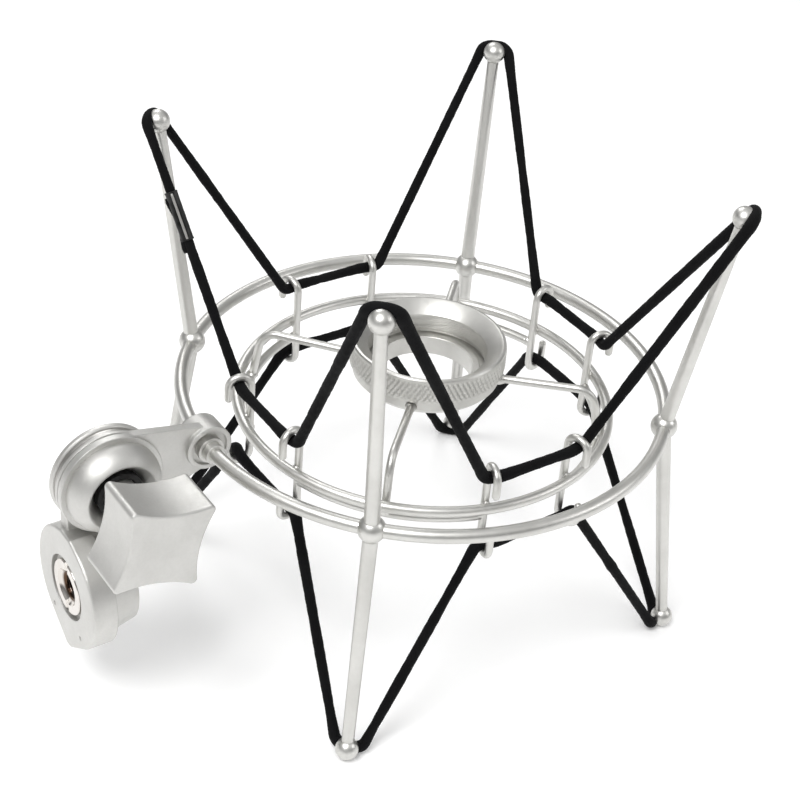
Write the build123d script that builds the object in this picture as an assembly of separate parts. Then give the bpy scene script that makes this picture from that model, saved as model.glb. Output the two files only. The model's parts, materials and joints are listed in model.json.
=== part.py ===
from build123d import *
from math import cos, pi, radians, sin
import os

# Elastic suspension (shock mount) for a large microphone, in millimetres.
# Origin: centre of the microphone thread in the ring nut. +Z: the microphone's axis, upwards.
# The tilting stand socket points along -X. Four posts stand at 45 degrees to the X axis.

os.makedirs("parts", exist_ok=True)

# Outer frame
RING_Z = -11.0            # plane of the outer ring
RING_R = 75.0             # radius of the outer ring's centre line
RING_WIRE = 2.1           # radius of the outer ring's rod
HUB_R = 4.1               # ball joint between ring and posts
TIP_R = 86.0              # distance of the ball tips from the axis
TIP_HEIGHT = 74.6         # height of the upper tips over the ring, and of the lower tips under it
TIP_BALL_R = 3.5
POST_FOOT_R = 2.3         # post radius at the hub
POST_END_R = 1.85         # post radius at the ball tip
POST_AZIMUTHS = {"rear_left": 135.0, "rear_right": 45.0, "front_right": 315.0, "front_left": 225.0}

# Inner cage
CAGE_Z = -16.0            # plane of the inner ring: the cage hangs a little below the outer ring
CAGE_R = 58.0
CAGE_WIRE = 1.65
HOOK_WIRE = 1.2
HOOK_INNER_R = 55.45      # inner leg, welded to the inner side of the ring
HOOK_OUTER_R = 62.35      # free outer leg
HOOK_REACH = 15.2         # height of the bend over the ring's plane
HOOK_TIP_REACH = 7.9      # height of the free end over the ring's plane
HOOK_BEND_R = 3.3
HOOK_OFFSET = 30.0        # hooks stand this many degrees each side of a post
BAR_R = 55.2
BAR_DROP = 4.3
BAR_WIRE = 1.4
BAR_HALF_ANGLE = 27.6
SPOKE_WIRE = 1.25
SPOKE_FOOT = (22.0, -4.6)  # radius and height at the carrier
SPOKE_KNEE = (52.3, -3.0)
SPOKE_BEND_R = 6.0

# Ring nut and the carrier that it turns in
THREAD_R = 18.3           # microphone thread, as a plain bore
THREAD_TOP_Z = 2.4
THREAD_BOTTOM_Z = -4.0
NUT_R = 24.3
NUT_TOP_Z = 5.8
NUT_SEAM_Z = -2.7
NUT_RIM = 0.7
NUT_RIM_R = 22.9
NUT_HUB_R = 20.0
NUT_HUB_Z = -5.2
THREAD_RELIEF_R = 18.9    # undercut between the thread and its shelf
THREAD_RELIEF = 0.8
NUT_SHELF_R = 16.5
NUT_LIP_Z = -3.3
NUT_HOLE_R = 14.3
SPIGOT_R = 16.93
SPIGOT_BOTTOM_Z = -9.4
CLIP_R = 19.0
CLIP_GROOVE_R = 15.9
CARRIER_EDGE = 1.6
CLIP_THICK = 0.9
CLIP_GAP = 5.0
CARRIER_R = 22.8
CARRIER_FOOT_R = 21.4
CARRIER_BORE_R = 17.0
CARRIER_BOTTOM_Z = -7.4
GAP = 0.3                 # gap between faces that turn past each other

# Elastic cord
CORD_R = 1.6
CORD_AXIS_R = 58.9        # the cord runs through the middle of each hook
CORD_HOOK_GAP = 0.3
CORD_HOOK_HALF = 2.6
CORD_TIP_HALF = 3.9
CORD_TIP_BEND = 5.0
CORD_HOOK_BEND = 3.2
CORD_CHORD_BEND = 8.0
NOTCH_R = 1.75
NOTCH_OUTWARD = (2.6, 1.5)    # notch centre from the ball's centre: outwards, away from the ring
NOTCH_INWARD = (-2.0, 2.4)
NOTCH_LOWER = (-2.6, 1.65)
SLEEVE_R = 2.2
SLEEVE_LENGTH = 15.0
SLEEVE_PLACE = 0.36       # place of the crimp sleeve along its strand, from the tip
SPLICE_GAP = 0.6

# Bracket and hinge of the stand socket
HINGE_X = -105.4
HINGE_Z = -13.8
ARM_FRONT_Y = 1.9
ARM_BACK_Y = 4.6
DISC_FRONT_Y = 0.75
DISC_R = 15.8
DISC_GROOVE = 0.5
DISC_GROOVE_Y = 2.9
BELL_R = 14.3             # bell that the knob's neck runs into
BELL_RIM = 1.0
BELL_BULGE = (13.3, -3.6)
BELL_MOUTH_R = 10.7
BELL_MOUTH_Y = -6.6
BELL_LIP_R = 10.2
BELL_LIP_Y = -6.2         # where the flared inside begins
BELL_BORE_R = 7.0
BELL_BORE_Y = -1.6
ARM_END_R = 6.6
BOSS_R = 7.1
BOSS_FRONT_Y = 0.3
BOSS_BACK_Y = 8.3
BOSS_RECESS_R = 5.7
BOSS_RECESS = 1.2
COLLAR_R = 4.1
COLLAR_STEP_R = 3.1
COLLAR_LENGTH = 2.5
REAR_COLLAR = 3.6
GRUB_R = 1.5
GRUB_SINK = 0.5           # of the screw's end in the boss
GRUB_BITE = 0.3           # of its hollow end round the ring
SCREW_R = 3.0
SCREW_HOLE_R = 3.3
THREAD_CLEARANCE = 0.05
SLEEVE_BORE_R = 5.4       # black sleeve inside the bell
SLEEVE_FRONT_Y = -4.4
FIXED_DISC_R = 15.3
TURNING_DISC_R = 15.2
FRICTION_DISC = 1.0
FACE_GAP = 0.15
EAR_R = 15.9
EAR_RIM_BACK_Y = 8.9
EAR_BOSS_R = 11.0
EAR_BACK_Y = 11.6
EAR_EDGE = 0.5

# Clamp knob
KNOB_FRONT_Y = -31.8
KNOB_BACK_Y = -15.0
KNOB_CORNER_R = 19.7
KNOB_WAIST_R = 11.2
KNOB_TURN = 31.3
KNOB_EDGE = 1.4
KNOB_RIM = 0.6
KNOB_NECK_R = 6.0
KNOB_NECK_STEP_Y = -9.0
KNOB_NECK_END_R = 5.0
KNOB_NECK_END_Y = -3.0

# Stand socket
SOCKET_FACE_X = -118.9
SOCKET_STEP_X = -111.4
SOCKET_BACK_X = -102.6
SOCKET_Y = 5.0
SOCKET_Z = -49.6
SOCKET_R = 19.2
SOCKET_POINT = 22.8       # the pointed lower end under the thread's axis
SOCKET_POINT_R = 3.5
SOCKET_TOP = 19.4         # the flat top over the thread's axis
SOCKET_TOP_HALF = 3.0
SOCKET_REAR_R = 16.6
SOCKET_REAR_TOP = 13.0
SOCKET_REAR_POINT = 18.5
SOCKET_REAR_TAPER = 12.0
NECK_SETBACK = 2.0        # between the ear and the socket's body
SOCKET_EDGE = 0.7
SOCKET_BORE_R = 7.93
SOCKET_BORE = 13.6
COUNTERBORE_R = 10.3
COUNTERBORE = 1.8
DENT_R = 0.7
DENT = 0.6
DENT_RADIUS = 15.6
DENT_ANGLES = (-55, -125)
ADAPTER_SETBACK = 0.1     # of the adapter's face behind the socket's
HINGE_CLEARANCE_R = 16.3  # room in the socket's top for the fixed discs

# Thread adapter: 5/8 inch outside, 3/8 inch inside
ADAPTER_R = 7.86
ADAPTER_FLANGE_R = 8.8
ADAPTER_FLANGE = 1.4
ADAPTER_LENGTH = 12.4
ADAPTER_MOUTH_R = 5.9
ADAPTER_MOUTH = 1.2
STAND_THREAD_R = 3.97
ADAPTER_SLOT = 1.6


def place(radius, azimuth, height):
    angle = radians(azimuth)
    return Vector(radius * cos(angle), radius * sin(angle), height)


def radial_plane(azimuth):
    # local X points outwards, local Y points up
    angle = radians(azimuth)
    return Plane(origin=(0, 0, 0), x_dir=(cos(angle), sin(angle), 0), z_dir=(sin(angle), -cos(angle), 0))


def torus(radius, wire, height):
    return Pos(0, 0, height) * Torus(radius, wire)


def ball(radius, centre):
    return Pos(*centre.to_tuple()) * Sphere(radius)


def rod(start, end, start_r, end_r):
    length = (end - start).length
    upright = (Align.CENTER, Align.CENTER, Align.MIN)
    shape = Cone(start_r, end_r, length, align=upright) if start_r != end_r \
        else Cylinder(start_r, length, align=upright)
    return Plane(origin=start, z_dir=end - start) * shape


def wire_along(path, radius):
    return sweep(Plane(origin=path @ 0, z_dir=path % 0) * Circle(radius), path=path)


def ring_profile(points):
    # solid of revolution about Z from (radius, height) points
    outline = Plane.XZ * make_face(Polyline(*points, close=True))
    return revolve(outline, Axis.Z)


def along_y(x, z, radius, start_y, end_y):
    return rod(Vector(x, start_y, z), Vector(x, end_y, z), radius, radius)


def save(shape, name):
    export_step(shape, f"parts/{name}.step")
    print(name, round(shape.volume, 1))


# ---------------------------------------------------------------- outer frame

def tip_centre(azimuth, side):
    return place(TIP_R, azimuth, RING_Z + side * TIP_HEIGHT)


def notch_offset(name, side):
    # the notch faces outwards on three upper tips and inwards on the others
    if side < 0:
        return NOTCH_LOWER
    return NOTCH_INWARD if name == "front_left" else NOTCH_OUTWARD


def tip_ball(name, azimuth, side):
    # ball with a notch cut along the bend of the cord that it holds
    points = [p for p, _ in strand_points(side)]
    k = 6 * list(POST_AZIMUTHS).index(name)
    before, after = (points[k - 1] + points[k]) / 2, (points[k + 1] + points[k + 2]) / 2
    cord_route = FilletPolyline(before, points[k], points[k + 1], after, radius=CORD_TIP_BEND)
    outwards, away = notch_offset(name, side)
    across = Vector(-sin(radians(azimuth)), cos(radians(azimuth)), 0)
    here = Plane(origin=tip_centre(azimuth, side), x_dir=-place(outwards, azimuth, side * away), z_dir=across)
    return here * Sphere(TIP_BALL_R) - wire_along(cord_route, NOTCH_R)


def hub(azimuth, ring):
    return ball(HUB_R, place(RING_R, azimuth, RING_Z)) - ring


def post(azimuth, side):
    foot = place(RING_R, azimuth, RING_Z)
    end = tip_centre(azimuth, side)
    bare = rod(foot, end, POST_FOOT_R, POST_END_R)
    return bare - ball(HUB_R, foot) - ball(TIP_BALL_R, end)


def make_frame():
    ring = torus(RING_R, RING_WIRE, RING_Z)
    save(ring, "outer_ring")
    for name, azimuth in POST_AZIMUTHS.items():
        save(hub(azimuth, ring), f"hub_{name}")
    for side, level in ((1, "upper"), (-1, "lower")):
        for name, azimuth in POST_AZIMUTHS.items():
            save(post(azimuth, side), f"{level}_post_{name}")
            save(tip_ball(name, azimuth, side), f"{level}_tip_{name}")
    return ring


# ----------------------------------------------------------------- inner cage

def hook(azimuth, ring):
    top = CAGE_Z + HOOK_REACH
    bottom = CAGE_Z - HOOK_REACH
    top_tip = (HOOK_OUTER_R, CAGE_Z + HOOK_TIP_REACH)
    bottom_tip = (HOOK_OUTER_R, CAGE_Z - HOOK_TIP_REACH)
    plane = radial_plane(azimuth)
    route = [top_tip, (HOOK_OUTER_R, top), (HOOK_INNER_R, top), (HOOK_INNER_R, bottom),
             (HOOK_OUTER_R, bottom), bottom_tip]
    path = FilletPolyline(*[plane.from_local_coords((r, z, 0)) for r, z in route], radius=HOOK_BEND_R)
    ends = [ball(HOOK_WIRE, plane.from_local_coords((r, z, 0))) for r, z in (top_tip, bottom_tip)]
    return wire_along(path, HOOK_WIRE) + ends - ring


def arc_bar(azimuth, neighbours):
    height = CAGE_Z - BAR_DROP
    path = CenterArc((0, 0, height), BAR_R, azimuth - BAR_HALF_ANGLE, 2 * BAR_HALF_ANGLE)
    ends = [ball(BAR_WIRE, place(BAR_R, azimuth + turn, height)) for turn in (-BAR_HALF_ANGLE, BAR_HALF_ANGLE)]
    return wire_along(path, BAR_WIRE) + ends - neighbours


def spoke(azimuth, carrier, bar):
    plane = radial_plane(azimuth)
    route = [SPOKE_FOOT, SPOKE_KNEE, (BAR_R, CAGE_Z - BAR_DROP)]
    path = FilletPolyline(*[plane.from_local_coords((r, z, 0)) for r, z in route], radius=SPOKE_BEND_R)
    return wire_along(path, SPOKE_WIRE) - carrier - bar


def nut_carrier():
    recess_z = NUT_HUB_Z - GAP
    return ring_profile([
        (CARRIER_BORE_R, CARRIER_BOTTOM_Z), (CARRIER_FOOT_R, CARRIER_BOTTOM_Z),
        (CARRIER_R, CARRIER_BOTTOM_Z + CARRIER_EDGE), (CARRIER_R, NUT_SEAM_Z - GAP),
        (NUT_HUB_R + GAP, NUT_SEAM_Z - GAP), (NUT_HUB_R + GAP, recess_z), (CARRIER_BORE_R, recess_z)])


def make_cage():
    ring = torus(CAGE_R, CAGE_WIRE, CAGE_Z)
    save(ring, "inner_ring")
    carrier = nut_carrier()
    save(carrier, "nut_carrier")
    for name, azimuth in POST_AZIMUTHS.items():
        pair = [hook(azimuth + turn, ring) for turn in (-HOOK_OFFSET, HOOK_OFFSET)]
        bar = arc_bar(azimuth, pair)
        save(pair[0], f"hook_{name}_a")
        save(pair[1], f"hook_{name}_b")
        save(bar, f"arc_bar_{name}")
        save(spoke(azimuth, carrier, bar), f"spoke_{name}")


# ------------------------------------------------------------------- ring nut

def ring_nut():
    groove_top = CARRIER_BOTTOM_Z - GAP
    return ring_profile([
        (NUT_HOLE_R, SPIGOT_BOTTOM_Z), (SPIGOT_R, SPIGOT_BOTTOM_Z),
        (SPIGOT_R, groove_top - CLIP_THICK), (CLIP_GROOVE_R, groove_top - CLIP_THICK),
        (CLIP_GROOVE_R, groove_top), (SPIGOT_R, groove_top),
        (SPIGOT_R, NUT_HUB_Z), (NUT_HUB_R, NUT_HUB_Z), (NUT_HUB_R, NUT_SEAM_Z), (NUT_R, NUT_SEAM_Z),
        (NUT_R, NUT_TOP_Z - NUT_RIM), (NUT_R - NUT_RIM, NUT_TOP_Z), (NUT_RIM_R, NUT_TOP_Z),
        (THREAD_R, THREAD_TOP_Z), (THREAD_R, THREAD_BOTTOM_Z + THREAD_RELIEF),
        (THREAD_RELIEF_R, THREAD_BOTTOM_Z + THREAD_RELIEF), (THREAD_RELIEF_R, THREAD_BOTTOM_Z),
        (NUT_SHELF_R, THREAD_BOTTOM_Z),
        (NUT_SHELF_R, NUT_LIP_Z), (NUT_HOLE_R, NUT_LIP_Z)])


def retaining_clip():
    # a spring ring with a gap, seated in the groove under the carrier
    top = CARRIER_BOTTOM_Z - GAP
    ring = ring_profile([(CLIP_GROOVE_R, top - CLIP_THICK), (CLIP_R, top - CLIP_THICK),
                         (CLIP_R, top), (CLIP_GROOVE_R, top)])
    return ring - Pos(0, -CLIP_R, top) * Box(CLIP_GAP, CLIP_R, CLIP_R)


def make_nut():
    save(ring_nut(), "ring_nut")
    save(retaining_clip(), "retaining_clip")


# --------------------------------------------------------------- elastic cords

def strand_points(side):
    # corner points of one loop, with their bend radii, from post to post
    lift = CAGE_Z + side * (HOOK_REACH - HOOK_WIRE - CORD_R - CORD_HOOK_GAP)
    points = []
    for name, azimuth in POST_AZIMUTHS.items():
        out, away = notch_offset(name, side)
        along = Vector(-sin(radians(azimuth)), cos(radians(azimuth)), 0)
        notch = place(TIP_R + out, azimuth, RING_Z + side * (TIP_HEIGHT + away))
        points.append((notch + along * CORD_TIP_HALF, CORD_TIP_BEND))
        points.append((notch - along * CORD_TIP_HALF, CORD_TIP_BEND))
        for turn, bends in ((-HOOK_OFFSET, (CORD_HOOK_BEND, CORD_CHORD_BEND)),
                            (HOOK_OFFSET - 90, (CORD_CHORD_BEND, CORD_HOOK_BEND))):
            angle = radians(azimuth + turn)
            along = Vector(-sin(angle), cos(angle), 0)
            middle = place(CORD_AXIS_R, azimuth + turn, lift)
            points.append((middle + along * CORD_HOOK_HALF, bends[0]))
            points.append((middle - along * CORD_HOOK_HALF, bends[1]))
    return points


def elastic_path(side):
    # one loop, beginning and ending inside its crimp sleeve
    points = strand_points(side)
    last, first = points[-1][0], points[0][0]
    along = (last - first).normalized()
    splice = first + (last - first) * SLEEVE_PLACE
    route = [splice - along * SPLICE_GAP / 2] + [p for p, _ in points] + [splice + along * SPLICE_GAP / 2]
    return FilletPolyline(*route, radius=[r for _, r in points]), splice, along


def elastic_loop(side, level):
    path, splice, along = elastic_path(side)
    loop = wire_along(path, CORD_R)
    section = pi * CORD_R ** 2
    print(f"{level}_elastic bend radii", sorted({r for _, r in strand_points(side)}))
    print(f"{level}_elastic length", round(path.length, 1),
          "volume over section times length", round(loop.volume / (path.length * section), 3))
    ends = splice - along * SLEEVE_LENGTH / 2, splice + along * SLEEVE_LENGTH / 2
    sleeve = rod(*ends, SLEEVE_R, SLEEVE_R) - rod(*ends, CORD_R, CORD_R)
    save(loop, f"{level}_elastic")
    save(sleeve, f"{level}_crimp_sleeve")


# ---------------------------------------------------- bracket, hinge and socket

def hinge_turned(points):
    # solid turned about the hinge's axis from (radius, y) points
    outline = Plane.XZ * make_face(Polyline(*points, close=True))
    return Plane(origin=(HINGE_X, 0, HINGE_Z), z_dir=(0, 1, 0)) * revolve(outline, Axis.Z)


def hinge_ring(outer, inner, start_y, end_y):
    return hinge_turned([(inner, start_y), (outer, start_y), (outer, end_y), (inner, end_y)])


def ring_centre(y):
    # where the outer ring's centre line passes through the bracket
    return Vector(-(RING_R ** 2 - y ** 2) ** 0.5, y, RING_Z)


def bracket_plate():
    # flat arm from the ring to the round hinge end
    boss_x = ring_centre((BOSS_FRONT_Y + BOSS_BACK_Y) / 2).X
    front = Plane(origin=(0, ARM_FRONT_Y, 0), x_dir=(1, 0, 0), z_dir=(0, 1, 0))
    ends = Pos(boss_x, -RING_Z) * Circle(ARM_END_R) + Pos(HINGE_X, -HINGE_Z) * Circle(DISC_R - DISC_GROOVE)
    arm = extrude(front * make_hull(ends.edges()), amount=ARM_BACK_Y - ARM_FRONT_Y)
    groove_end = DISC_GROOVE_Y + DISC_GROOVE
    disc = hinge_ring(DISC_R, SCREW_HOLE_R, DISC_FRONT_Y, DISC_GROOVE_Y)
    rib = hinge_ring(DISC_R, SCREW_HOLE_R, groove_end, ARM_BACK_Y)
    hole = along_y(HINGE_X, HINGE_Z, SCREW_HOLE_R, ARM_FRONT_Y, ARM_BACK_Y)
    boss = along_y(boss_x, RING_Z, BOSS_R, BOSS_FRONT_Y, BOSS_BACK_Y)
    recess = along_y(boss_x, RING_Z, BOSS_RECESS_R, BOSS_FRONT_Y, BOSS_FRONT_Y + BOSS_RECESS)
    ring_hole = wire_along(CenterArc((0, 0, RING_Z), RING_R, 170, 20), RING_WIRE)
    return arm + boss - recess - ring_hole - grub_screw() + disc + rib - hole


def grub_screw():
    # set screw in the underside of the boss, pressing on the ring
    top = ring_centre((BOSS_FRONT_Y + BOSS_BACK_Y) / 2)
    return rod(top - Vector(0, 0, BOSS_R - GRUB_SINK), top - Vector(0, 0, RING_WIRE - GRUB_BITE), GRUB_R, GRUB_R)


def ring_collars(neighbours):
    # stepped collar in front of the boss and a plain one behind it
    floor_y = BOSS_FRONT_Y + BOSS_RECESS
    step_y = floor_y - COLLAR_LENGTH
    front = rod(ring_centre(floor_y), ring_centre(step_y), COLLAR_R, COLLAR_R) \
        + rod(ring_centre(step_y), ring_centre(step_y - COLLAR_LENGTH), COLLAR_STEP_R, COLLAR_STEP_R)
    rear = rod(ring_centre(BOSS_BACK_Y), ring_centre(BOSS_BACK_Y + REAR_COLLAR), COLLAR_R, COLLAR_R)
    return Compound(children=[front - neighbours, rear - neighbours])


def hinge_bell():
    # domed sleeve in front of the disc
    side = ThreePointArc((BELL_R, DISC_FRONT_Y - BELL_RIM), BELL_BULGE, (BELL_MOUTH_R, BELL_MOUTH_Y))
    rest = Polyline((BELL_MOUTH_R, BELL_MOUTH_Y), (BELL_LIP_R, BELL_LIP_Y), (BELL_BORE_R, BELL_BORE_Y),
                    (BELL_BORE_R, DISC_FRONT_Y), (BELL_R, DISC_FRONT_Y), (BELL_R, DISC_FRONT_Y - BELL_RIM))
    outline = Plane.XZ * make_face([side] + rest.edges())
    return Plane(origin=(HINGE_X, 0, HINGE_Z), z_dir=(0, 1, 0)) * revolve(outline, Axis.Z)


def make_bracket(ring):
    plate = bracket_plate()
    save(plate, "bracket_plate")
    save(ring_collars([ring, plate]), "ring_collars")
    save(grub_screw() - ring, "bracket_grub_screw")
    save(hinge_bell(), "hinge_bell")
    save(hinge_ring(BELL_BORE_R, SLEEVE_BORE_R, SLEEVE_FRONT_Y, DISC_FRONT_Y), "bell_sleeve")
    disc = hinge_ring(FIXED_DISC_R, SCREW_HOLE_R, ARM_BACK_Y, ARM_BACK_Y + FRICTION_DISC)
    save(disc, "fixed_friction_disc")


def socket_body(plane, radius, top_height, point_depth, depth, taper):
    # round sides, flat top, pointed lower end
    top = Pos(0, top_height - 1) * Rectangle(2 * SOCKET_TOP_HALF, 2)
    point = Pos(0, SOCKET_POINT_R - point_depth) * Circle(SOCKET_POINT_R)
    outline = make_hull((Circle(radius) + top + point).edges())
    return extrude(plane * outline, amount=depth, taper=taper)


def socket_housing():
    face = Plane(origin=(SOCKET_FACE_X, SOCKET_Y, SOCKET_Z), x_dir=(0, 1, 0), z_dir=(1, 0, 0))
    depth = SOCKET_STEP_X - SOCKET_FACE_X
    front = socket_body(face, SOCKET_R, SOCKET_TOP, SOCKET_POINT, depth, 0)
    front = fillet(front.edges().group_by(Axis.X)[0], SOCKET_EDGE)
    rear = socket_body(face.offset(depth), SOCKET_REAR_R, SOCKET_REAR_TOP, SOCKET_REAR_POINT,
                       SOCKET_BACK_X - SOCKET_STEP_X, SOCKET_REAR_TAPER)
    ear_front = ARM_BACK_Y + 2 * FRICTION_DISC + FACE_GAP
    ear = hinge_turned([(SCREW_R + THREAD_CLEARANCE, ear_front), (EAR_R - EAR_EDGE, ear_front),
                        (EAR_R, ear_front + EAR_EDGE), (EAR_R, EAR_RIM_BACK_Y - EAR_EDGE),
                        (EAR_R - EAR_EDGE, EAR_RIM_BACK_Y), (EAR_BOSS_R, EAR_RIM_BACK_Y),
                        (EAR_BOSS_R, EAR_BACK_Y), (SCREW_R + THREAD_CLEARANCE, EAR_BACK_Y)])
    neck_top = HINGE_Z - EAR_R / 2
    neck_bottom = SOCKET_Z + SOCKET_REAR_TOP / 2
    neck_front_x = SOCKET_FACE_X + NECK_SETBACK
    neck = Box(SOCKET_BACK_X - neck_front_x, EAR_BACK_Y - ear_front, neck_top - neck_bottom)
    neck = Pos((neck_front_x + SOCKET_BACK_X) / 2, (ear_front + EAR_BACK_Y) / 2, 0) * neck
    neck = Pos(0, 0, (neck_top + neck_bottom) / 2) * neck
    room = along_y(HINGE_X, HINGE_Z, HINGE_CLEARANCE_R, SOCKET_Y - SOCKET_R - 1, ear_front)
    along_x = Vector(1, 0, 0)
    mouth = Vector(SOCKET_FACE_X, SOCKET_Y, SOCKET_Z)
    bore = rod(mouth, mouth + along_x * SOCKET_BORE, SOCKET_BORE_R, SOCKET_BORE_R)
    counterbore = rod(mouth, mouth + along_x * COUNTERBORE, COUNTERBORE_R, COUNTERBORE_R)
    screw_hole = along_y(HINGE_X, HINGE_Z, SCREW_R + THREAD_CLEARANCE, ear_front, EAR_BACK_Y)
    housing = front + rear + neck - room - screw_hole + ear - bore - counterbore
    for angle in DENT_ANGLES:
        dent = mouth + Vector(0, cos(radians(angle)), sin(radians(angle))) * DENT_RADIUS
        housing -= rod(dent, dent + along_x * DENT, DENT_R, DENT_R)
    return housing


def clamp_knob():
    # four-cornered knob with hollowed sides on the clamp screw
    front = Plane(origin=(HINGE_X, KNOB_FRONT_Y, HINGE_Z), x_dir=(1, 0, 0), z_dir=(0, -1, 0))
    corners = [Vector(KNOB_CORNER_R, 0, 0).rotate(Axis.Z, KNOB_TURN + 90 * k) for k in range(5)]
    waists = [Vector(KNOB_WAIST_R, 0, 0).rotate(Axis.Z, KNOB_TURN + 45 + 90 * k) for k in range(4)]
    outline = make_face([ThreePointArc(corners[k], waists[k], corners[k + 1]) for k in range(4)])
    outline = fillet(outline.vertices(), KNOB_EDGE)
    body = extrude(front * outline, amount=KNOB_FRONT_Y - KNOB_BACK_Y)
    rims = body.edges().group_by(Axis.Y)
    body = fillet(rims[0] + rims[-1], KNOB_RIM)
    neck = along_y(HINGE_X, HINGE_Z, KNOB_NECK_R, KNOB_BACK_Y, KNOB_NECK_STEP_Y)
    return body + neck + along_y(HINGE_X, HINGE_Z, KNOB_NECK_END_R, KNOB_NECK_STEP_Y, KNOB_NECK_END_Y)


def clamp_screw():
    return along_y(HINGE_X, HINGE_Z, SCREW_R, KNOB_NECK_END_Y, EAR_BACK_Y)


def thread_adapter():
    along_x = Vector(1, 0, 0)
    mouth = Vector(SOCKET_FACE_X + ADAPTER_SETBACK, SOCKET_Y, SOCKET_Z)
    end = mouth + along_x * ADAPTER_LENGTH
    barrel = rod(mouth, end, ADAPTER_R, ADAPTER_R)
    flange = rod(mouth, mouth + along_x * ADAPTER_FLANGE, ADAPTER_FLANGE_R, ADAPTER_FLANGE_R)
    bore = rod(mouth, end, STAND_THREAD_R, STAND_THREAD_R)
    flare = rod(mouth, mouth + along_x * ADAPTER_MOUTH, ADAPTER_MOUTH_R, STAND_THREAD_R)
    slot = Pos(*mouth.to_tuple()) * Box(ADAPTER_FLANGE, ADAPTER_SLOT, 2 * ADAPTER_FLANGE_R)
    return barrel + flange - bore - flare - slot


def make_socket():
    disc_front = ARM_BACK_Y + FRICTION_DISC + FACE_GAP
    disc = hinge_ring(TURNING_DISC_R, SCREW_HOLE_R, disc_front, disc_front + FRICTION_DISC)
    save(disc, "turning_friction_disc")
    save(socket_housing(), "socket_housing")
    save(clamp_knob(), "clamp_knob")
    save(clamp_screw(), "clamp_screw")
    save(thread_adapter(), "thread_adapter")


outer_ring = make_frame()
make_cage()
make_nut()
elastic_loop(1, "upper")
elastic_loop(-1, "lower")
make_bracket(outer_ring)
make_socket()
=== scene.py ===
import json
import math
import random

import bpy
from mathutils import Matrix, Vector


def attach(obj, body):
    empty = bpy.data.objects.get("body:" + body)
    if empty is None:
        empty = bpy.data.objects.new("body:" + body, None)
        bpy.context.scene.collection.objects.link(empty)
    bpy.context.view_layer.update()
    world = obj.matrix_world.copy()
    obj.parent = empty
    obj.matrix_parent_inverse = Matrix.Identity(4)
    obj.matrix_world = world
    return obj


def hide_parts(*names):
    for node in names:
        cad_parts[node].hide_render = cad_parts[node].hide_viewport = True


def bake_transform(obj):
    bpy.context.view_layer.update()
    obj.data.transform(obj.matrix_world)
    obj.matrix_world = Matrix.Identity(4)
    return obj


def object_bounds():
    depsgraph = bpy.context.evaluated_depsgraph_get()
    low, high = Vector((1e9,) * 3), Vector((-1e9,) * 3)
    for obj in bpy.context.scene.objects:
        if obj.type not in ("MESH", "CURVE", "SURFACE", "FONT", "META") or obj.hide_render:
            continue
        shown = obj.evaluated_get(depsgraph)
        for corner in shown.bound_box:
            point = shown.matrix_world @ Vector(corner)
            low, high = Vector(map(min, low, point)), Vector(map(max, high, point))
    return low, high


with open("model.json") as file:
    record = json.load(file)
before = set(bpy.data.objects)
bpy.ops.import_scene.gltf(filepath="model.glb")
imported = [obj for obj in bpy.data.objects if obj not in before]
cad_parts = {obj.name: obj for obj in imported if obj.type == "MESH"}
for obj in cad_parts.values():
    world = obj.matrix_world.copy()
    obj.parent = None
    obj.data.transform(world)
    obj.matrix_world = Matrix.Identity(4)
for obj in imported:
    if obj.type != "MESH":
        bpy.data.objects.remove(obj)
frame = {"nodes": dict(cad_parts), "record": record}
cad_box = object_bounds()

MM = 0.001

# Design sizes shared with the CAD model, in millimetres.
RING_Z = -11.0
CAGE_Z = -16.0
TIP_R = 86.0
TIP_HEIGHT = 74.6
POST_AZIMUTHS = {"rear_left": 135.0, "rear_right": 45.0, "front_right": 315.0, "front_left": 225.0}
HOOK_OFFSET = 30.0
HOOK_REACH = 15.2
HOOK_WIRE = 1.2
NOTCH_OUTWARD = (2.6, 1.5)
NOTCH_INWARD = (-2.0, 2.4)
NOTCH_LOWER = (-2.6, 1.65)
CORD_AXIS_R = 58.9
CORD_DROP = 1.9                # of the cord's axis inside a hook's bend
CORD_TIP_HALF = 3.9            # from a notch's middle to the cord's corner beside it
CORD_HOOK_HALF = 2.6           # from a hook's middle to the cord's corner beside it
BAR_R = 55.2
SPLICE_PLACE = 0.36            # along its strand, from the tip
SPLICE_LENGTH = 15.0
THREAD_R = 18.3
THREAD_TOP_Z = 2.3
THREAD_BOTTOM_Z = -3.2
ADAPTER_MOUTH = Vector((-118.8, 5.0, -49.6))
ADAPTER_LENGTH = 12.4

# Surface detail, in millimetres.
CORD_STEP = 0.55
CORNERS_PER_TIP = 6            # cord corners from one tip to the next: two at the tip, two at each hook
CORD_FULLNESS = {1: (0.90, 0.98, 1.13, 1.12), -1: (1.0, 1.0, 1.0, 1.0)}
CORD_STRETCHED_R = 1.53
CORD_SLACK_R = 0.22            # added where the cord is bunched round a tip or hook
CORD_LIMIT_R = 1.95
CORD_LUMPS = 70                # soft thick and thin places along one loop
FERRULE_R = 1.9
FERRULE_BITES = (0.2, 0.4, 0.6, 0.8)   # along the ferrule, as fractions of its length
SEAM_R = 0.38
TAIL_R = 1.15
TAIL_LENGTH = 17.0
BAR_BEAD_TURN = 28.6           # degrees from a post's azimuth to the bead at each end of its arc bar
SPOKE_BEAD = (23.0, -4.7)      # radius and height of the bead at a spoke's foot
KNURL_COUNT = 96
KNURL_R = 24.0
KNURL_LOW = -1.9
KNURL_HIGH = 4.7
NUT_PITCH = 0.6
ADAPTER_PITCH = 1.5875
ADAPTER_BORE_R = 4.4
SLOT_HALF = 0.8
SLOT_DEPTH = 0.7


def place(radius, azimuth, height):
    angle = math.radians(azimuth)
    return Vector((radius * math.cos(angle), radius * math.sin(angle), height))


# ------------------------------------------------------------------ mesh helpers

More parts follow.
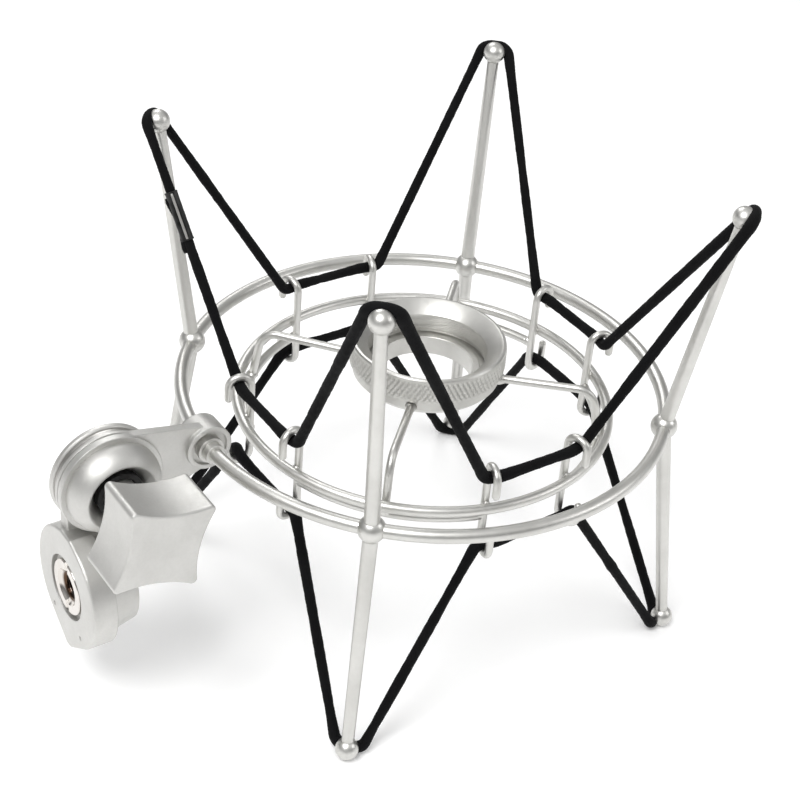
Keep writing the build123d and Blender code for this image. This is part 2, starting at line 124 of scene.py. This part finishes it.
def new_mesh(name, verts, faces, body, sharp_angle=None):
    """Mesh from points in millimetres, riding on a body."""
    mesh = bpy.data.meshes.new(name)
    mesh.from_pydata([Vector(v) * MM for v in verts], [], faces)
    mesh.validate()
    mesh.update()
    for polygon in mesh.polygons:
        polygon.use_smooth = True
    obj = bpy.data.objects.new(name, mesh)
    bpy.context.scene.collection.objects.link(obj)
    if sharp_angle is not None:
        mesh.set_sharp_from_angle(angle=math.radians(sharp_angle))
    if body:
        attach(obj, body)
    return obj


def grid_faces(rows, columns, wrap_rows=False):
    """Quads between rows of points, where each row closes on itself."""
    faces = []
    for i in range(rows if wrap_rows else rows - 1):
        for j in range(columns):
            a = i * columns + j
            b = i * columns + (j + 1) % columns
            c = ((i + 1) % rows) * columns + (j + 1) % columns
            d = ((i + 1) % rows) * columns + j
            faces.append((a, b, c, d))
    return faces


def frames_along(points, closed):
    """Rotation-minimising frames: (tangent, side, up) at every point."""
    n = len(points)
    tangents = []
    for i in range(n):
        before = points[(i - 1) % n] if closed or i > 0 else points[i]
        after = points[(i + 1) % n] if closed or i < n - 1 else points[i]
        tangents.append((after - before).normalized())
    side = tangents[0].orthogonal().normalized()
    frames = []
    for t in tangents:
        side = (side - t * side.dot(t)).normalized()
        frames.append((t, side, t.cross(side)))
    return frames


def tube(name, points, radius_at, body, closed=False, sides=16):
    """Tube along points; radius_at(i, angle) gives the radius in millimetres."""
    verts = []
    for i, (point, (_, side, up)) in enumerate(zip(points, frames_along(points, closed))):
        for j in range(sides):
            angle = 2 * math.pi * j / sides
            r = radius_at(i, angle)
            verts.append(point + side * (r * math.cos(angle)) + up * (r * math.sin(angle)))
    faces = grid_faces(len(points), sides, wrap_rows=closed)
    if not closed:
        first = len(verts)
        verts += [points[0], points[-1]]
        last_row = (len(points) - 1) * sides
        for j in range(sides):
            k = (j + 1) % sides
            faces.append((first, k, j))
            faces.append((first + 1, last_row + j, last_row + k))
    return new_mesh(name, verts, faces, body)


def spline_points(control):
    """Points of the closed NURBS spline that has these control points."""
    curve = bpy.data.curves.new("route", "CURVE")
    curve.dimensions = "3D"
    curve.resolution_u = 12
    spline = curve.splines.new("NURBS")
    spline.points.add(len(control) - 1)
    for point, co in zip(spline.points, control):
        point.co = (*co, 1.0)
    spline.order_u = 3
    spline.use_cyclic_u = True
    obj = bpy.data.objects.new("route", curve)
    bpy.context.scene.collection.objects.link(obj)
    bpy.context.view_layer.update()
    mesh = bpy.data.meshes.new_from_object(obj.evaluated_get(bpy.context.evaluated_depsgraph_get()))
    points = [v.co.copy() for v in mesh.vertices]
    bpy.data.objects.remove(obj)
    bpy.data.curves.remove(curve)
    bpy.data.meshes.remove(mesh)
    return points


def revolve(name, profile, body, axis_to_world, segments, radius_shift=None, sharp_angle=35,
            height_at=None):
    """Closed profile of (radius, height) turned about local Z, placed by axis_to_world."""
    verts = []
    for j in range(segments):
        angle = 2 * math.pi * j / segments
        for i, (r, z) in enumerate(profile):
            shift = radius_shift(i, r, z, angle) if radius_shift else 0.0
            height = height_at(r, z, angle) if height_at else z
            local = Vector(((r + shift) * math.cos(angle), (r + shift) * math.sin(angle), height))
            verts.append(axis_to_world @ local)
    faces = grid_faces(segments, len(profile), wrap_rows=True)
    return new_mesh(name, verts, faces, body, sharp_angle=sharp_angle)


# --------------------------------------------------------------------- materials

def node_material(name):
    material = bpy.data.materials.new(name)
    material.use_nodes = True
    tree = material.node_tree
    shader = tree.nodes["Principled BSDF"]
    return material, tree, shader


def link(tree, source, target):
    tree.links.new(source, target)


def noise_node(tree, scale, detail, roughness, coords):
    node = tree.nodes.new("ShaderNodeTexNoise")
    node.inputs["Scale"].default_value = scale
    node.inputs["Detail"].default_value = detail
    node.inputs["Roughness"].default_value = roughness
    link(tree, coords, node.inputs["Vector"])
    return node


def ramp(tree, source, low, high, start, end):
    node = tree.nodes.new("ShaderNodeMapRange")
    node.inputs["From Min"].default_value = start
    node.inputs["From Max"].default_value = end
    node.inputs["To Min"].default_value = low
    node.inputs["To Max"].default_value = high
    link(tree, source, node.inputs["Value"])
    return node.outputs["Result"]


def metal(name, colour, dark, rough, rough_spread, bump=0.15, grain=900.0, metallic=1.0,
          edge=0.00025, stretch=(1, 1, 1)):
    """Plated metal: cloudy tone, grain bump, uneven gloss and softened edges."""
    material, tree, shader = node_material(name)
    coords = tree.nodes.new("ShaderNodeTexCoord").outputs["Object"]
    mapping = tree.nodes.new("ShaderNodeMapping")
    mapping.inputs["Scale"].default_value = stretch
    link(tree, coords, mapping.inputs["Vector"])
    cloud = noise_node(tree, 60.0, 4.0, 0.6, coords)
    grain_noise = noise_node(tree, grain, 5.0, 0.65, mapping.outputs["Vector"])
    tone = tree.nodes.new("ShaderNodeValToRGB")
    tone.color_ramp.elements[0].position = 0.3
    tone.color_ramp.elements[0].color = (*dark, 1)
    tone.color_ramp.elements[1].position = 0.62
    tone.color_ramp.elements[1].color = (*colour, 1)
    link(tree, cloud.outputs["Fac"], tone.inputs["Fac"])
    link(tree, tone.outputs["Color"], shader.inputs["Base Color"])
    link(tree, ramp(tree, grain_noise.outputs["Fac"], rough - rough_spread, rough + rough_spread, 0.35, 0.65),
         shader.inputs["Roughness"])
    shader.inputs["Metallic"].default_value = metallic
    bevel = tree.nodes.new("ShaderNodeBevel")
    bevel.samples = 4
    bevel.inputs["Radius"].default_value = edge
    bump_node = tree.nodes.new("ShaderNodeBump")
    bump_node.inputs["Strength"].default_value = bump
    bump_node.inputs["Distance"].default_value = 0.00006
    link(tree, grain_noise.outputs["Fac"], bump_node.inputs["Height"])
    link(tree, bevel.outputs["Normal"], bump_node.inputs["Normal"])
    link(tree, bump_node.outputs["Normal"], shader.inputs["Normal"])
    return material


def elastic_material():
    """Black textile sheath with a fine fuzz and patches of uneven gloss."""
    material, tree, shader = node_material("black_elastic")
    coords = tree.nodes.new("ShaderNodeTexCoord").outputs["Object"]
    fuzz = noise_node(tree, 2600.0, 4.0, 0.7, coords)
    patch = noise_node(tree, 90.0, 3.0, 0.5, coords)
    tone = tree.nodes.new("ShaderNodeValToRGB")
    tone.color_ramp.elements[0].position = 0.35
    tone.color_ramp.elements[0].color = (0.0012, 0.0012, 0.0014, 1)
    tone.color_ramp.elements[1].position = 0.75
    tone.color_ramp.elements[1].color = (0.006, 0.006, 0.007, 1)
    link(tree, fuzz.outputs["Fac"], tone.inputs["Fac"])
    link(tree, tone.outputs["Color"], shader.inputs["Base Color"])
    link(tree, ramp(tree, patch.outputs["Fac"], 0.72, 0.92, 0.3, 0.7), shader.inputs["Roughness"])
    shader.inputs["Sheen Weight"].default_value = 0.02
    shader.inputs["Sheen Roughness"].default_value = 0.5
    shader.inputs["Specular IOR Level"].default_value = 0.12
    bump_node = tree.nodes.new("ShaderNodeBump")
    bump_node.inputs["Strength"].default_value = 0.5
    bump_node.inputs["Distance"].default_value = 0.00015
    link(tree, fuzz.outputs["Fac"], bump_node.inputs["Height"])
    link(tree, bump_node.outputs["Normal"], shader.inputs["Normal"])
    return material


def paint_bore_shade(material, centre, dark, inner_r, outer_r):
    """Painted shade round an axis along X: a dark tone, full inside inner_r and gone at outer_r, in metres.
    """
    tree = material.node_tree
    shader = tree.nodes["Principled BSDF"]
    coords = tree.nodes.new("ShaderNodeTexCoord").outputs["Object"]
    offset = tree.nodes.new("ShaderNodeVectorMath")
    offset.operation = "SUBTRACT"
    offset.inputs[1].default_value = centre
    link(tree, coords, offset.inputs[0])
    flat = tree.nodes.new("ShaderNodeVectorMath")
    flat.operation = "MULTIPLY"
    flat.inputs[1].default_value = (0, 1, 1)
    link(tree, offset.outputs["Vector"], flat.inputs[0])
    length = tree.nodes.new("ShaderNodeVectorMath")
    length.operation = "LENGTH"
    link(tree, flat.outputs["Vector"], length.inputs[0])
    inside = ramp(tree, length.outputs["Value"], 1.0, 0.0, inner_r, outer_r)
    mix = tree.nodes.new("ShaderNodeMix")
    mix.data_type = "RGBA"
    mix.inputs["B"].default_value = (*dark, 1)
    link(tree, inside, mix.inputs["Factor"])
    before = shader.inputs["Base Color"].links[0].from_socket
    link(tree, before, mix.inputs["A"])
    link(tree, mix.outputs["Result"], shader.inputs["Base Color"])


MATERIALS = {
    "satin_nickel_rod": metal("satin_nickel_rod", (0.66, 0.655, 0.63), (0.58, 0.575, 0.55), 0.40, 0.05),
    "satin_nickel_ball": metal("satin_nickel_ball", (0.67, 0.665, 0.64), (0.59, 0.585, 0.56), 0.38, 0.05),
    "turned_nickel": metal("turned_nickel", (0.64, 0.635, 0.61), (0.54, 0.535, 0.51), 0.38, 0.06,
                           stretch=(1, 1, 6)),
    "satin_alloy": metal("satin_alloy", (0.64, 0.635, 0.615), (0.58, 0.575, 0.555), 0.50, 0.06, bump=0.3,
                         grain=1400.0, edge=0.0006),
    "friction_disc": metal("friction_disc", (0.50, 0.49, 0.47), (0.42, 0.41, 0.40), 0.38, 0.06),
    "crimp_steel": metal("crimp_steel", (0.07, 0.07, 0.07), (0.015, 0.015, 0.015), 0.40, 0.08),
    "dark_screw": metal("dark_screw", (0.10, 0.10, 0.10), (0.05, 0.05, 0.05), 0.45, 0.1),
    "adapter_chrome": metal("adapter_chrome", (0.72, 0.69, 0.65), (0.60, 0.56, 0.52), 0.14, 0.04, bump=0.05),
    "black_washer": metal("black_washer", (0.012, 0.012, 0.012), (0.006, 0.006, 0.006), 0.6, 0.1,
                          metallic=0.0),
    "black_elastic": elastic_material(),
}


# Painted shade inside the adapter's threaded bore: a dark brown tone out to the thread's radius.
paint_bore_shade(MATERIALS["adapter_chrome"], ADAPTER_MOUTH * MM, (0.09, 0.055, 0.035), 0.0046, 0.0051)


def dress(obj, slot):
    obj.data.materials.clear()
    obj.data.materials.append(MATERIALS[slot])
    return obj


SLOT_OF = {part["node"]: part["material_slot"] for part in frame["record"]["subparts"]}
for node, obj in frame["nodes"].items():
    material = MATERIALS[SLOT_OF[node]]
    for mesh_slot in obj.material_slots:
        mesh_slot.material = material
    if not obj.material_slots:
        obj.data.materials.append(material)


# ---------------------------------------------------------------- elastic cords

def notch_offset(name, side):
    if side < 0:
        return NOTCH_LOWER
    return NOTCH_INWARD if name == "front_left" else NOTCH_OUTWARD


def elastic_corners(side):
    """Corner points of one loop, in order, with what each one goes round."""
    lift = CAGE_Z + side * (HOOK_REACH - HOOK_WIRE - CORD_DROP)
    corners = []
    for name, azimuth in POST_AZIMUTHS.items():
        out, away = notch_offset(name, side)
        along = place(1.0, azimuth + 90, 0)
        notch = place(TIP_R + out, azimuth, RING_Z + side * (TIP_HEIGHT + away))
        corners += [(notch + along * CORD_TIP_HALF, "tip"), (notch - along * CORD_TIP_HALF, "tip")]
        for turn in (-HOOK_OFFSET, HOOK_OFFSET - 90):
            along = place(1.0, azimuth + turn + 90, 0)
            middle = place(CORD_AXIS_R, azimuth + turn, lift)
            corners += [(middle + along * CORD_HOOK_HALF, "hook"), (middle - along * CORD_HOOK_HALF, "hook")]
    return corners


def elastic_controls(side):
    """Control points: each corner, and points a little way along each straight run."""
    corners = elastic_corners(side)
    controls = []
    n = len(corners)
    for k, (corner, kind) in enumerate(corners):
        following, _ = corners[(k + 1) % n]
        run = following - corner
        controls.append(corner)
        if run.length > 20:
            start = 6.0 if kind == "tip" else 4.0
            for distance in (start, run.length * 0.34, run.length * 0.67, run.length - 4.5):
                controls.append(corner + run.normalized() * distance)
    return controls


def bunching(points, corners, side):
    """Cord radius at each point: thin where it is stretched, full round hooks and tips."""
    radii = []
    places = [c for c, _ in corners]
    for p in points:
        nearest = min((p - c).length for c in places)
        swell = max(0.0, 1.0 - nearest / 9.0)
        radius = CORD_STRETCHED_R + CORD_SLACK_R * swell * swell * (3 - 2 * swell)
        for k, full in enumerate(CORD_FULLNESS[side]):
            from_tip = (p - places[CORNERS_PER_TIP * k]).length
            radius *= 1 + (full - 1) * math.exp(-(from_tip / 60) ** 2)
        radii.append(radius)
    return radii


def resample(points, step):
    """Points at an even step along a fine closed polyline."""
    line = points + [points[0]]
    out = [line[0].copy()]
    left = step
    for a, b in zip(line, line[1:]):
        length = (b - a).length
        at = left
        while at <= length:
            out.append(a.lerp(b, at / length))
            at += step
        left = at - length
    if (out[-1] - out[0]).length < 0.5 * step:
        out.pop()
    return out


def elastic(side, level):
    points = resample(spline_points(elastic_controls(side)), CORD_STEP)
    radii = bunching(points, elastic_corners(side), side)
    random.seed(11 + side)
    phases = [random.uniform(0, 2 * math.pi) for _ in range(4)]
    knots = [0.0] * len(points)
    for _ in range(CORD_LUMPS):
        at, wide, high = random.randrange(len(points)), random.uniform(3, 8), random.uniform(-0.13, 0.13)
        for i in range(-24, 25):
            knots[(at + i) % len(points)] += high * math.exp(-(i / wide) ** 2)

    def radius_at(i, angle):
        braid = 0.045 * math.sin(8 * angle + 1.7 * i) * math.sin(8 * angle - 1.7 * i)
        wave = 0.03 * math.sin(i * 0.045 + phases[0]) + 0.02 * math.sin(i * 0.13 + phases[1])
        pucker = 0.04 * math.sin(0.9 * i + phases[2]) * math.sin(0.11 * i + 2 * angle + phases[3])
        return min(radii[i] + braid + wave + pucker + knots[i], CORD_LIMIT_R)

    cord = tube(f"{level}_elastic_cord", points, radius_at, None, closed=True, sides=24)
    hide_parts(f"{level}_elastic")
    dress(cord, "black_elastic")
    return cord


def splice(side, level):
    """Crimped ferrule that joins the ends, a raised seam whose light colour is a painted highlight on the
    side toward the camera, and the loose tail beside the cord.
    """
    corners = elastic_corners(side)
    tip, hook = corners[0][0], corners[-1][0]
    along = (hook - tip).normalized()
    length = (hook - tip).length
    outward = Vector((tip.x, tip.y, 0)).normalized()
    outward = (outward - along * along.dot(outward)).normalized()
    # Painted highlight: the seam is set on the ferrule's side toward the camera, where a glint shows on the
    # dark ferrule.
    toward_camera = Vector((-0.4, -0.8, 0.44))
    glint_side = (toward_camera - along * along.dot(toward_camera)).normalized()
    centre = tip + along * (SPLICE_PLACE * length)
    steps = 48

    def crimp(i, angle):
        t = i / steps
        bite = sum(math.exp(-((t - c) / 0.04) ** 2) for c in FERRULE_BITES)
        return FERRULE_R - 0.15 * bite * abs(math.cos(angle)) + (0.1 if t < 0.03 or t > 0.97 else 0.0)

    points = [centre + along * (SPLICE_LENGTH * (i / steps - 0.5)) for i in range(steps + 1)]
    sleeve = tube(f"{level}_crimp_ferrule", points, crimp, None, sides=32)
    sleeve.data.set_sharp_from_angle(angle=math.radians(50))
    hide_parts(f"{level}_crimp_sleeve")
    dress(sleeve, "crimp_steel")

    seam_length = SPLICE_LENGTH - 1.0
    seam_points = [centre + along * (seam_length * (i / 24 - 0.5)) + glint_side * 1.75 for i in range(25)]
    seam_glint = tube(f"{level}_crimp_seam_glint", seam_points, lambda i, angle: SEAM_R, None, sides=12)
    # The seam is a real raised rib; its light metal colour is a painted highlight.
    dress(seam_glint, "friction_disc")

    def tail_radius(i, angle):
        end = min(1.0, 0.75 + 0.25 * i / 3, 0.75 + 0.25 * (steps - i) / 3)
        return TAIL_R * end + 0.05 * math.sin(6 * angle + 1.9 * i)

    tail_points = []
    for i in range(steps + 1):
        arch = 0.5 * math.cos(math.pi * (2 * i / steps - 1))
        tail_points.append(centre + along * (TAIL_LENGTH * i / steps - 6.0) + outward * (1.0 - arch))
    tail = tube(f"{level}_cord_tail", tail_points, tail_radius, None, sides=16)
    dress(tail, "black_elastic")
    return sleeve, seam_glint, tail


for side, level in ((1, "upper"), (-1, "lower")):
    for piece in (elastic(side, level), *splice(side, level)):
        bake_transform(piece)


# --------------------------------------------------------------------- ring nut

def triangle(x):
    return 2 * abs(2 * (x - math.floor(x + 0.5))) - 1


def ring_nut():
    segments = 960
    outline = [(14.3, -9.4), (16.93, -9.4), (16.93, -8.6), (15.9, -8.6), (15.9, -7.7), (16.93, -7.7),
               (16.93, -5.2), (20.0, -5.2), (20.0, -2.7), (23.7, -2.7), (23.95, -2.5)]
    rows = 28
    outline += [(KNURL_R, KNURL_LOW + (KNURL_HIGH - KNURL_LOW) * k / rows) for k in range(rows + 1)]
    outline += [(23.95, 5.3), (23.6, 5.75), (22.9, 5.8), (22.7, 5.7), (20.6, 4.08), (18.5, 2.52)]
    thread_rows = 48
    thread_length = THREAD_TOP_Z - THREAD_BOTTOM_Z
    outline += [(THREAD_R, THREAD_TOP_Z - thread_length * k / thread_rows) for k in range(thread_rows + 1)]
    outline += [(18.9, -3.2), (18.9, -4.0), (16.5, -4.0), (16.45, -3.4), (16.35, -3.3),
                (14.45, -3.3), (14.3, -3.45)]

    def shift(i, r, z, angle):
        turns = angle / (2 * math.pi)
        if r == KNURL_R:
            slant = (z - KNURL_LOW) * 0.35
            cut = triangle(KNURL_COUNT * turns + slant) + triangle(KNURL_COUNT * turns - slant)
            edge_fade = min(1.0, (z - KNURL_LOW) / 0.4, (KNURL_HIGH - z) / 0.4)
            return 0.145 * cut * max(edge_fade, 0.0)
        if r == THREAD_R and -3.1 < z < 2.2:
            fade = min(1.0, (2.2 - z) / 0.6, (z + 3.1) / 0.6)
            return 0.09 * triangle(z / NUT_PITCH - turns) * fade
        return 0.0

    nut = revolve("knurled_ring_nut", outline, "microphone_nut", Matrix.Identity(4), segments, shift, 28)
    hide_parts("ring_nut")
    dress(nut, "turned_nickel")


ring_nut()


# ---------------------------------------------------------------- thread adapter

def thread_adapter():
    lengthways_to_x = Matrix(((0, 0, 1, 0), (0, 1, 0, 0), (-1, 0, 0, 0), (0, 0, 0, 1)))
    to_world = Matrix.Translation(ADAPTER_MOUTH) @ lengthways_to_x
    length = ADAPTER_LENGTH
    bore_rows = 96
    outline = [(5.9, 0.0), (8.5, 0.0), (8.75, 0.25), (8.75, 1.4), (7.86, 1.4), (7.86, length), (4.6, length)]
    outline += [(ADAPTER_BORE_R, length - 0.3 - (length - 1.7) * k / bore_rows) for k in range(bore_rows + 1)]
    outline += [(4.9, 1.15), (5.5, 0.5)]

    def shift(i, r, z, angle):
        if r == ADAPTER_BORE_R:
            return 0.43 * triangle(z / ADAPTER_PITCH - angle / (2 * math.pi))
        return 0.0

    def slotted(r, z, angle):
        in_slot = abs(r * math.sin(angle)) < SLOT_HALF and z < SLOT_DEPTH
        return SLOT_DEPTH if in_slot else z

    adapter = revolve("threaded_adapter", outline, "adapter", to_world, 240, shift, 40, slotted)
    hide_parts("thread_adapter")
    dress(adapter, "adapter_chrome")


thread_adapter()


# -------------------------------------------------------------------- weld beads

def weld_bead(name, centre, along, radius, seed):
    """Small uneven bead, drawn out along a direction."""
    random.seed(seed)
    along = along.normalized()
    side = along.orthogonal().normalized()
    up = along.cross(side)
    rings, sides = 9, 14
    phases = [random.uniform(0, 2 * math.pi) for _ in range(3)]
    verts = [centre - along * (radius * 1.35)]
    for i in range(1, rings):
        polar = math.pi * i / rings
        for j in range(sides):
            angle = 2 * math.pi * j / sides
            lump = 1 + 0.1 * math.sin(2 * angle + phases[0]) + 0.07 * math.sin(5 * polar + phases[1] + angle)
            r = radius * math.sin(polar) * lump
            verts.append(centre - along * (radius * 1.35 * math.cos(polar))
                         + side * (r * math.cos(angle)) + up * (r * math.sin(angle)))
    verts.append(centre + along * (radius * 1.35))
    faces = [(0, 1 + (j + 1) % sides, 1 + j) for j in range(sides)]
    for i in range(rings - 2):
        for j in range(sides):
            a, b = 1 + i * sides + j, 1 + i * sides + (j + 1) % sides
            faces.append((a, b, b + sides, a + sides))
    last = 1 + (rings - 2) * sides
    faces += [(last + j, last + (j + 1) % sides, len(verts) - 1) for j in range(sides)]
    bead = new_mesh(name, verts, faces, "inner_cage")
    return dress(bead, "satin_nickel_rod")


def weld_beads():
    for k, (name, azimuth) in enumerate(POST_AZIMUTHS.items()):
        around = place(1.0, azimuth + 90, 0)
        outward = place(1.0, azimuth, 0)
        for turn, letter in ((-HOOK_OFFSET, "a"), (HOOK_OFFSET, "b")):
            at = azimuth + turn
            foot = place(56.4, at, CAGE_Z)
            weld_bead(f"weld_hook_{name}_{letter}", foot, Vector((0, 0, 1)), 1.35, 10 * k + turn)
        for turn, letter in ((-BAR_BEAD_TURN, "a"), (BAR_BEAD_TURN, "b")):
            weld_bead(f"weld_bar_{name}_{letter}", place(BAR_R, azimuth + turn, CAGE_Z - 4.3),
                      place(1.0, azimuth + turn + 90, 0), 1.45, 7 * k + turn)
        weld_bead(f"weld_spoke_end_{name}", place(BAR_R, azimuth, CAGE_Z - 3.6), around, 1.75, 40 + k)
        foot = place(SPOKE_BEAD[0], azimuth, SPOKE_BEAD[1])
        weld_bead(f"weld_spoke_foot_{name}", foot, outward, 1.7, 50 + k)


weld_beads()


# ------------------------------------------------------------------ floor, light

def floor():
    low = cad_box[0].z
    size = 6.0
    verts = [(-size, -size, low), (size, -size, low), (size, size, low), (-size, size, low)]
    mesh = bpy.data.meshes.new("floor")
    mesh.from_pydata(verts, [], [(0, 1, 2, 3)])
    obj = bpy.data.objects.new("floor", mesh)
    bpy.context.scene.collection.objects.link(obj)
    material, tree, shader = node_material("floor")
    coords = tree.nodes.new("ShaderNodeTexCoord").outputs["Object"]
    grain = noise_node(tree, 3.0, 2.0, 0.5, coords)
    tone = tree.nodes.new("ShaderNodeValToRGB")
    tone.color_ramp.elements[0].color = (0.90, 0.90, 0.90, 1)
    tone.color_ramp.elements[1].color = (0.93, 0.93, 0.93, 1)
    link(tree, grain.outputs["Fac"], tone.inputs["Fac"])
    link(tree, tone.outputs["Color"], shader.inputs["Base Color"])
    shader.inputs["Roughness"].default_value = 0.7
    shader.inputs["Emission Color"].default_value = (1.0, 1.0, 1.0, 1)
    shader.inputs["Emission Strength"].default_value = 0.14
    mesh.materials.append(material)


def area_light(name, location, target, size, power):
    data = bpy.data.lights.new(name, "AREA")
    data.shape = "DISK"
    data.size = size
    data.energy = power
    obj = bpy.data.objects.new(name, data)
    obj.location = location
    obj.rotation_euler = (Vector(target) - Vector(location)).to_track_quat("-Z", "Y").to_euler()
    bpy.context.scene.collection.objects.link(obj)


def studio():
    world = bpy.data.worlds.new("studio")
    bpy.context.scene.world = world
    world.use_nodes = True
    tree = world.node_tree
    background = tree.nodes["Background"]
    direction = tree.nodes.new("ShaderNodeTexCoord").outputs["Generated"]
    split = tree.nodes.new("ShaderNodeSeparateXYZ")
    link(tree, direction, split.inputs["Vector"])
    height = tree.nodes.new("ShaderNodeValToRGB")
    stops = ((0.0, 1.0), (0.07, 0.9), (0.14, 0.28), (0.3, 0.42), (0.75, 1.0))
    while len(height.color_ramp.elements) < len(stops):
        height.color_ramp.elements.new(0.5)
    for element, (position, value) in zip(height.color_ramp.elements, stops):
        element.position = position
        element.color = (value, value, value, 1)
    link(tree, split.outputs["Z"], height.inputs["Fac"])
    link(tree, height.outputs["Color"], background.inputs["Color"])
    background.inputs["Strength"].default_value = 0.62
    area_light("key", (-0.55, -0.25, 0.9), (0, 0, 0), 0.6, 8.5)
    area_light("fill", (0.7, -0.6, 0.5), (0, 0, 0), 0.5, 1.6)
    area_light("back", (0.2, 0.8, 0.7), (0, 0, 0), 0.5, 2.6)


def camera():
    data = bpy.data.cameras.new("camera")
    data.sensor_width = 36.0
    data.lens = 79.54
    data.shift_x = -0.0305
    data.shift_y = -0.0220
    data.clip_start = 0.01
    data.clip_end = 50.0
    obj = bpy.data.objects.new("camera", data)
    location = Vector((-0.2734, -0.3632, 0.2976))
    forward = (Vector((0, 0, -0.011)) - location).normalized()
    right = forward.cross(Vector((0, 0, 1))).normalized()
    up = right.cross(forward)
    roll = math.radians(5.705)
    tilted_right = right * math.cos(roll) + up * math.sin(roll)
    tilted_up = up * math.cos(roll) - right * math.sin(roll)
    basis = Matrix((tilted_right, tilted_up, -forward)).transposed()
    obj.matrix_world = Matrix.Translation(location) @ basis.to_4x4()
    bpy.context.scene.collection.objects.link(obj)
    bpy.context.scene.camera = obj


floor()
studio()
camera()
bpy.context.scene.view_settings.view_transform = "Standard"
bpy.context.scene.view_settings.look = "None"
